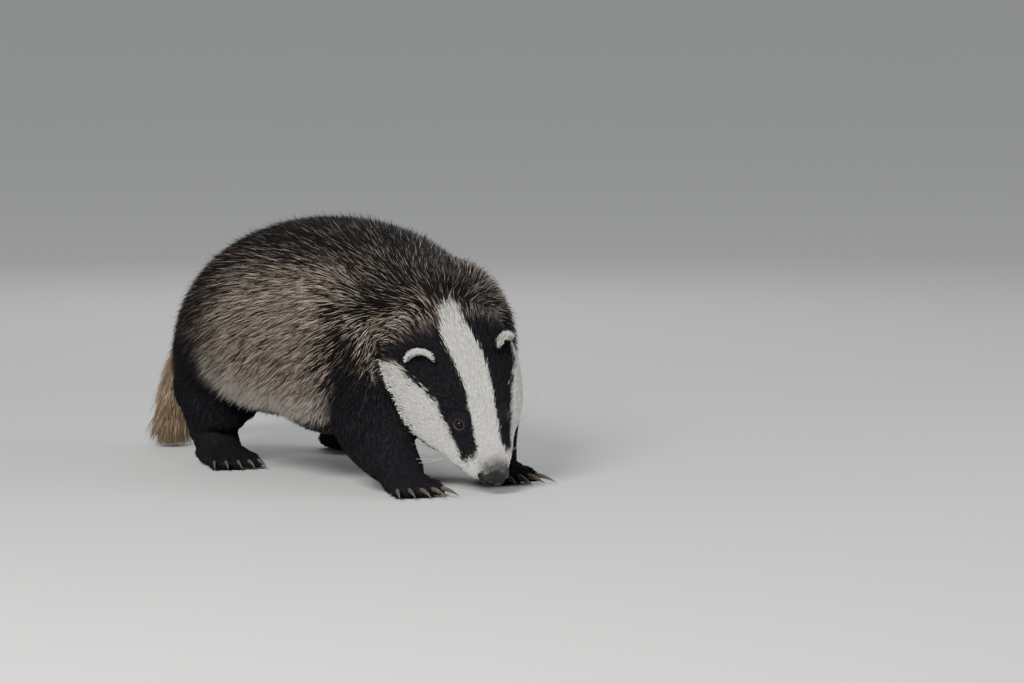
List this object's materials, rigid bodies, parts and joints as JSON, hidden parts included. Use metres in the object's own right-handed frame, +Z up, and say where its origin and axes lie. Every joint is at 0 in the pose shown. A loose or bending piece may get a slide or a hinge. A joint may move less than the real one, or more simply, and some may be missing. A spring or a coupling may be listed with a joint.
{
  "type": "european badger",
  "caption": "European badger at life size, in mid-step with its nose to the ground, standing on its paws with the tail hanging down behind.",
  "frame": {"origin": "on the floor, under the middle of the whole animal's bounding box", "axes": "+Z up, -Y ahead to the nose, +X to the animal's left"},
  "size_m": [0.2768, 0.5952, 0.2516],
  "materials": {
    "fur_grey": "coarse grizzled fur",
    "fur_black": "short black fur",
    "fur_white": "short white fur with black stripes in the render",
    "fur_buff": "long pale fur",
    "nose_skin": "moist black skin",
    "eye": "polished black"
  },
  "bodies": {
    "root": {"head": "fur_white", "ear_left": "fur_black", "ear_right": "fur_black", "eye_left": "eye", "eye_right": "eye", "nose_pad": "nose_skin", "neck": "fur_grey", "torso": "fur_grey", "tail": "fur_buff", "front_leg_left": "fur_black", "front_leg_right": "fur_black", "hind_leg_left": "fur_black", "hind_leg_right": "fur_black", "front_paw_left": "fur_black", "front_paw_right": "fur_black", "hind_paw_left": "fur_black", "hind_paw_right": "fur_black"}
  },
  "joints": []
}
